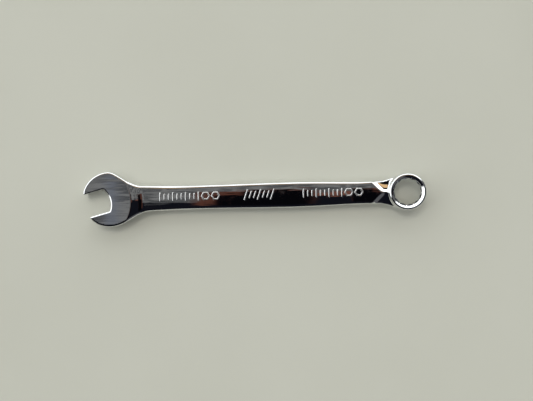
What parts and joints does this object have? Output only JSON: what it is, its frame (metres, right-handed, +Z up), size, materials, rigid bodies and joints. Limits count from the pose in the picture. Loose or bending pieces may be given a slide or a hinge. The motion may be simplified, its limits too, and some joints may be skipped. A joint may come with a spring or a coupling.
{
  "type": "combination wrench",
  "caption": "Plain combination wrench, about 8 mm across flats: angled open end, slim shank, raised twelve-point ring.",
  "frame": {"origin": "middle of the wrench's box, on the surface that it lies on", "axes": "+X along the shank from the open end to the ring, +Y across it, towards the longer nose of the open end, +Z up, towards the side with the raised marks"},
  "size_m": [0.1164, 0.0188, 0.0078],
  "materials": {
    "polished_chrome": "mirror-polished chrome plate, finely ground on the faces of the open end"
  },
  "bodies": {
    "root": {"wrench_body": "polished_chrome"}
  },
  "joints": []
}
